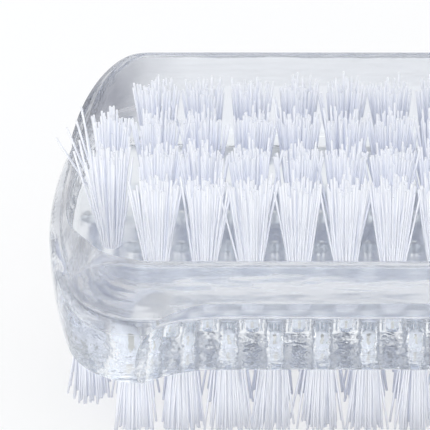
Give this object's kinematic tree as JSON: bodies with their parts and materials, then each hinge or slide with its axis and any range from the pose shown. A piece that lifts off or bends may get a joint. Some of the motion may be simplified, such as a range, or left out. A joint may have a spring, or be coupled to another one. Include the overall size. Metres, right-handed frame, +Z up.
{
  "type": "nail brush",
  "caption": "Clear double-sided nail brush: moulded body with swept side walls and finger grooves, and white filament tufts anchored in blind holes on both faces.",
  "frame": {"origin": "on the trimmed plane of the lower tufts, which the brush stands on, below the centre of the body", "axes": "+X along the brush, +Y across it from the near long side to the far one, +Z up through both bristle faces"},
  "size_m": [0.0886, 0.04, 0.0349],
  "materials": {
    "clear_plastic": "clear, polished",
    "bristle": "satin nylon filament",
    "anchor_wire": "flat drawn wire"
  },
  "bodies": {
    "root": {"body": "clear_plastic", "upper_tuft_row_1": "bristle", "upper_tuft_row_2": "bristle", "upper_tuft_row_3": "bristle", "upper_tuft_row_4": "bristle", "lower_tuft_row_1": "bristle", "lower_tuft_row_2": "bristle", "lower_tuft_row_3": "bristle", "lower_tuft_row_4": "bristle", "upper_anchor_row_1": "anchor_wire", "upper_anchor_row_2": "anchor_wire", "upper_anchor_row_3": "anchor_wire", "upper_anchor_row_4": "anchor_wire", "lower_anchor_row_1": "anchor_wire", "lower_anchor_row_2": "anchor_wire", "lower_anchor_row_3": "anchor_wire", "lower_anchor_row_4": "anchor_wire"}
  },
  "joints": []
}
